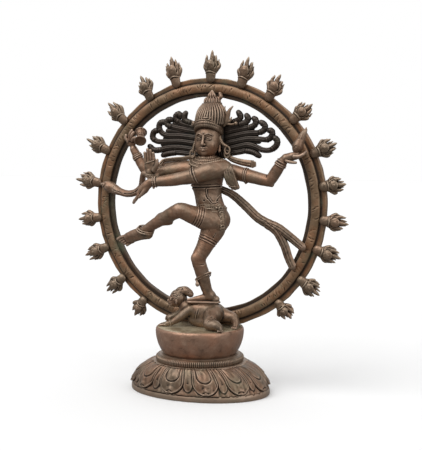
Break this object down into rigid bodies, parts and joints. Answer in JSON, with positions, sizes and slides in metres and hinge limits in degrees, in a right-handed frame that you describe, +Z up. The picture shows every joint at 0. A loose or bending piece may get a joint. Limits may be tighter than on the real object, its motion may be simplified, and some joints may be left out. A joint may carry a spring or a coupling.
{
  "type": "dancing deity statue",
  "caption": "Table-top cast brass figure dancing inside a ring of flames, with flying hair and four arms, standing on a dwarf on an oval lotus base with a plain foot",
  "frame": {"origin": "middle of the foot of the base, on the surface it stands on", "axes": "+Z up, the figure faces -Y, its left side is at +X"},
  "size_m": [0.3006, 0.1058, 0.3403],
  "materials": {
    "brown_brass": "aged brown patina, satin, darker in the recesses",
    "rubbed_brass": "aged brown patina with rubbed, lighter edges, satin",
    "dark_brass": "near-black patina, satin",
    "steel": "plain zinc-plated"
  },
  "bodies": {
    "root": {"lotus_base": "brown_brass", "beaded_collar": "brown_brass", "pedestal_drum": "brown_brass", "halo_ring": "brown_brass", "dwarf": "brown_brass", "standing_leg": "brown_brass", "raised_leg": "brown_brass", "torso": "brown_brass", "shoulder_cloth": "brown_brass", "head": "brown_brass", "crown": "brown_brass", "front_left_arm": "brown_brass", "front_right_arm": "brown_brass", "rear_left_arm": "brown_brass", "rear_right_arm": "brown_brass", "hand_drum": "brown_brass", "sash": "brown_brass", "cobra": "brown_brass", "waist_belt": "rubbed_brass", "necklace": "rubbed_brass", "moon_crescent": "rubbed_brass", "earring_left": "rubbed_brass", "earring_right": "rubbed_brass", "palm_flame": "rubbed_brass", "ribbon_left": "rubbed_brass", "ribbon_right": "rubbed_brass", "flame_01": "rubbed_brass", "flame_02": "rubbed_brass", "flame_03": "rubbed_brass", "flame_04": "rubbed_brass", "flame_05": "rubbed_brass", "flame_06": "rubbed_brass", "flame_07": "rubbed_brass", "flame_08": "rubbed_brass", "flame_09": "rubbed_brass", "flame_10": "rubbed_brass", "flame_11": "rubbed_brass", "flame_12": "rubbed_brass", "flame_13": "rubbed_brass", "flame_14": "rubbed_brass", "flame_15": "rubbed_brass", "flame_16": "rubbed_brass", "flame_17": "rubbed_brass", "flame_18": "rubbed_brass", "flame_19": "rubbed_brass", "hair_fan_left": "dark_brass", "hair_fan_right": "dark_brass", "tie_rod": "steel", "tie_washer": "steel", "tie_nut": "steel"}
  },
  "joints": []
}
